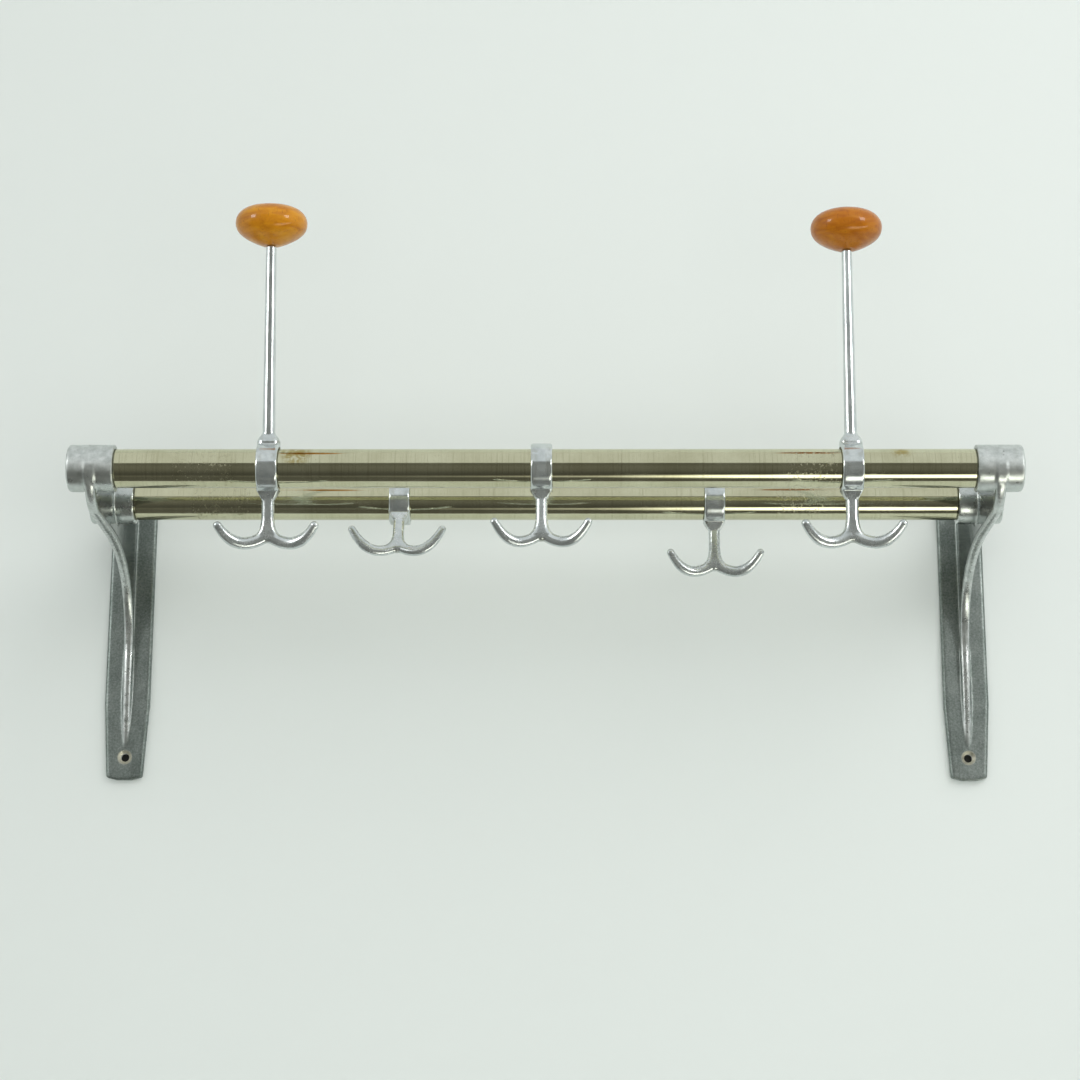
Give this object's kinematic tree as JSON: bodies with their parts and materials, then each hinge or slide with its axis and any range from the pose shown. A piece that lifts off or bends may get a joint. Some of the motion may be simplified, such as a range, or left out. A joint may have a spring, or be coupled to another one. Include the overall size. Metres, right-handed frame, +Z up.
{
  "type": "wall coat rack",
  "caption": "Wall coat rack: cast brackets carry a front and a rear tube, with double-armed ring hooks that slide and turn, some with a tall stem and wooden hat knob.",
  "frame": {"origin": "on the wall plane, midway between the brackets, at the height of their lower screw holes", "axes": "+X to the right along the tubes, +Y into the wall, +Z up"},
  "size_m": [0.6844, 0.2372, 0.3895],
  "materials": {
    "bracket": "cast, brushed and polished",
    "hook": "cast and polished",
    "tube": "warm nickel plate, worn",
    "screw": "plain",
    "sleeve": "rolled sheet",
    "knob": "turned and lacquered, amber"
  },
  "bodies": {
    "rack": {"bracket_left": "bracket", "bracket_right": "bracket", "front_tube": "tube", "rear_tube": "tube", "set_screw_front_left": "screw", "set_screw_front_right": "screw", "set_screw_rear_left": "screw", "set_screw_rear_right": "screw"},
    "hat_sleeve_left": {"hat_sleeve_left": "sleeve"},
    "hat_hook_left": {"hat_hook_left": "hook", "hat_knob_left": "knob"},
    "coat_sleeve_centre": {"coat_sleeve_centre": "sleeve"},
    "coat_hook_centre": {"coat_hook_centre": "hook"},
    "hat_sleeve_right": {"hat_sleeve_right": "sleeve"},
    "hat_hook_right": {"hat_hook_right": "hook", "hat_knob_right": "knob"},
    "coat_sleeve_rear_left": {"coat_sleeve_rear_left": "sleeve"},
    "coat_hook_rear_left": {"coat_hook_rear_left": "hook"},
    "coat_sleeve_rear_right": {"coat_sleeve_rear_right": "sleeve"},
    "coat_hook_rear_right": {"coat_hook_rear_right": "hook"}
  },
  "joints": [
    {"name": "slide_hat_hook_left", "type": "slide", "parent": "rack", "child": "hat_sleeve_left", "axis": [1, 0, 0], "range_m": [-0.082, 0.06]},
    {"name": "turn_hat_hook_left", "type": "hinge", "parent": "hat_sleeve_left", "child": "hat_hook_left", "pos_m": [-0.1983, -0.1866, 0.1795], "axis": [1, 0, 0], "range_deg": [-68, 22]},
    {"name": "slide_coat_hook_centre", "type": "slide", "parent": "rack", "child": "coat_sleeve_centre", "axis": [1, 0, 0], "range_m": [-0.059, 0.071]},
    {"name": "turn_coat_hook_centre", "type": "hinge", "parent": "coat_sleeve_centre", "child": "coat_hook_centre", "pos_m": [-0.0023, -0.1866, 0.1795], "axis": [1, 0, 0], "range_deg": [-80, 30]},
    {"name": "slide_hat_hook_right", "type": "slide", "parent": "rack", "child": "hat_sleeve_right", "axis": [1, 0, 0], "range_m": [-0.071, 0.061]},
    {"name": "turn_hat_hook_right", "type": "hinge", "parent": "hat_sleeve_right", "child": "hat_hook_right", "pos_m": [0.2195, -0.1866, 0.1795], "axis": [1, 0, 0], "range_deg": [-63.5, 26.5]},
    {"name": "slide_coat_hook_rear_left", "type": "slide", "parent": "rack", "child": "coat_sleeve_rear_left", "axis": [1, 0, 0], "range_m": [-0.174, 0.079]},
    {"name": "turn_coat_hook_rear_left", "type": "hinge", "parent": "coat_sleeve_rear_left", "child": "coat_hook_rear_left", "pos_m": [-0.1092, -0.0961, 0.1795], "axis": [1, 0, 0], "range_deg": [-13.5, 111.5]},
    {"name": "slide_coat_hook_rear_right", "type": "slide", "parent": "rack", "child": "coat_sleeve_rear_right", "axis": [1, 0, 0], "range_m": [-0.079, 0.157]},
    {"name": "turn_coat_hook_rear_right", "type": "hinge", "parent": "coat_sleeve_rear_right", "child": "coat_hook_rear_right", "pos_m": [0.1263, -0.0961, 0.1795], "axis": [1, 0, 0], "range_deg": [-45, 80]}
  ]
}
